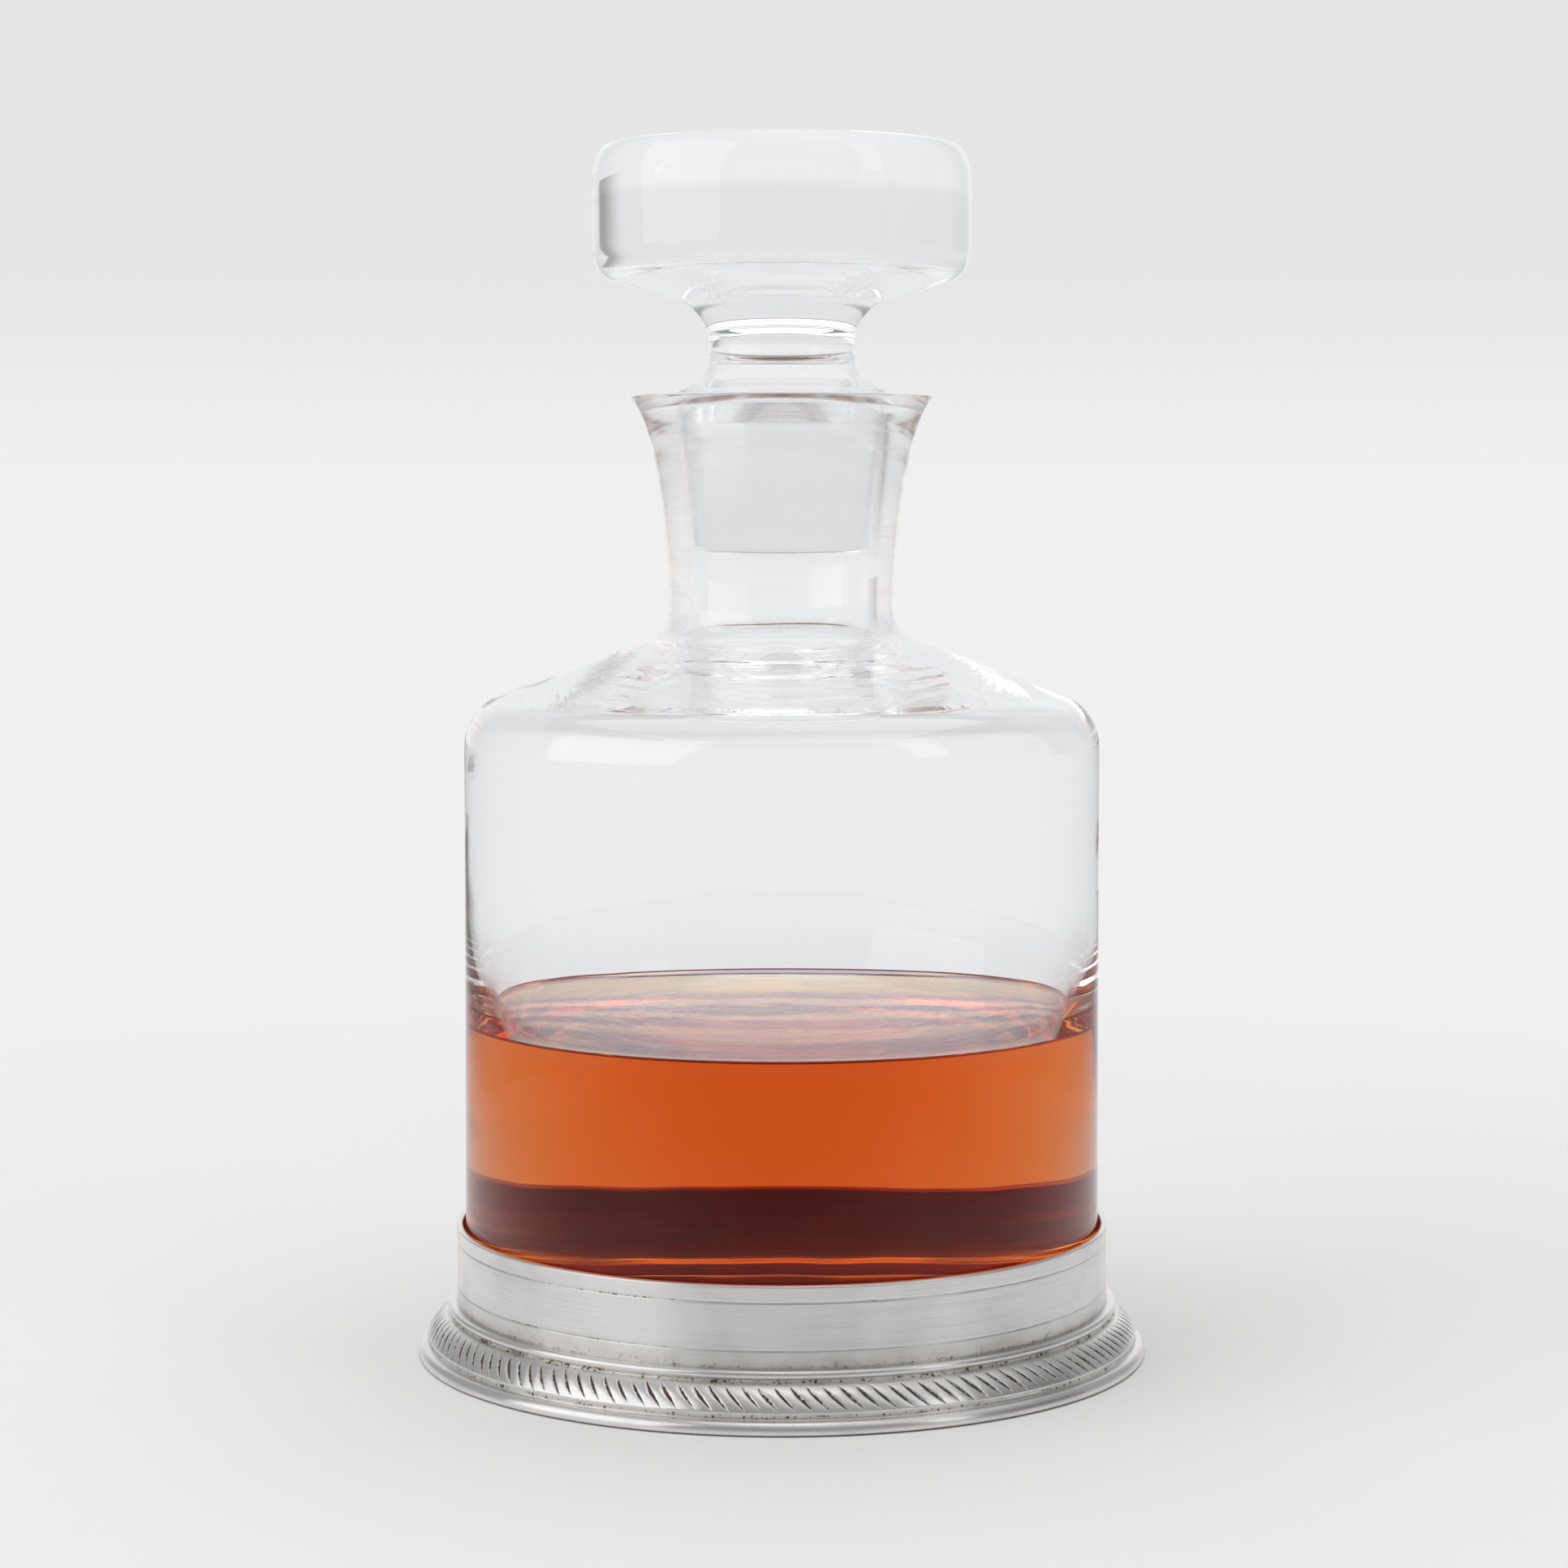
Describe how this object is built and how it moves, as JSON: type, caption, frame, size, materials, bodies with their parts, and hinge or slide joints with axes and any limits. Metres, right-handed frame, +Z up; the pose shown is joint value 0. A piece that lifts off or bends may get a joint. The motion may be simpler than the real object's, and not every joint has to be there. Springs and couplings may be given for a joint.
{
  "type": "spirits decanter",
  "caption": "Clear glass spirits decanter, lift-out solid glass stopper, in a pewter stand with plain band and rope-moulded foot, part filled with amber spirit.",
  "frame": {"origin": "centre of the underside of the foot, on the level it stands on", "axes": "+Z up along the axis of the turned parts, through the stopper; +Y away from the viewer of the picture, +X to that viewer's right"},
  "size_m": [0.13, 0.13, 0.2132],
  "materials": {
    "bottle_glass": "clear blown glass, polished",
    "stopper_glass": "clear solid glass, polished, plug fine ground",
    "band_pewter": "satin pewter, brushed round the band, dark in the engraved lines",
    "foot_pewter": "cast pewter, polished high spots, dark brown in the notches and channels",
    "plate_pewter": "turned pewter, dull",
    "bed_putty": "matt setting putty",
    "amber_spirit": "clear amber liquid"
  },
  "bodies": {
    "decanter": {"foot_ring": "foot_pewter", "collar_band": "band_pewter", "base_plate": "plate_pewter", "glass_bed": "bed_putty", "glass_bottle": "bottle_glass", "spirit": "amber_spirit"},
    "stopper": {"glass_stopper": "stopper_glass"}
  },
  "joints": [
    {"name": "stopper_lift", "type": "slide", "parent": "decanter", "child": "stopper", "axis": [0, 0, 1], "range_m": [0, 0.06]}
  ]
}
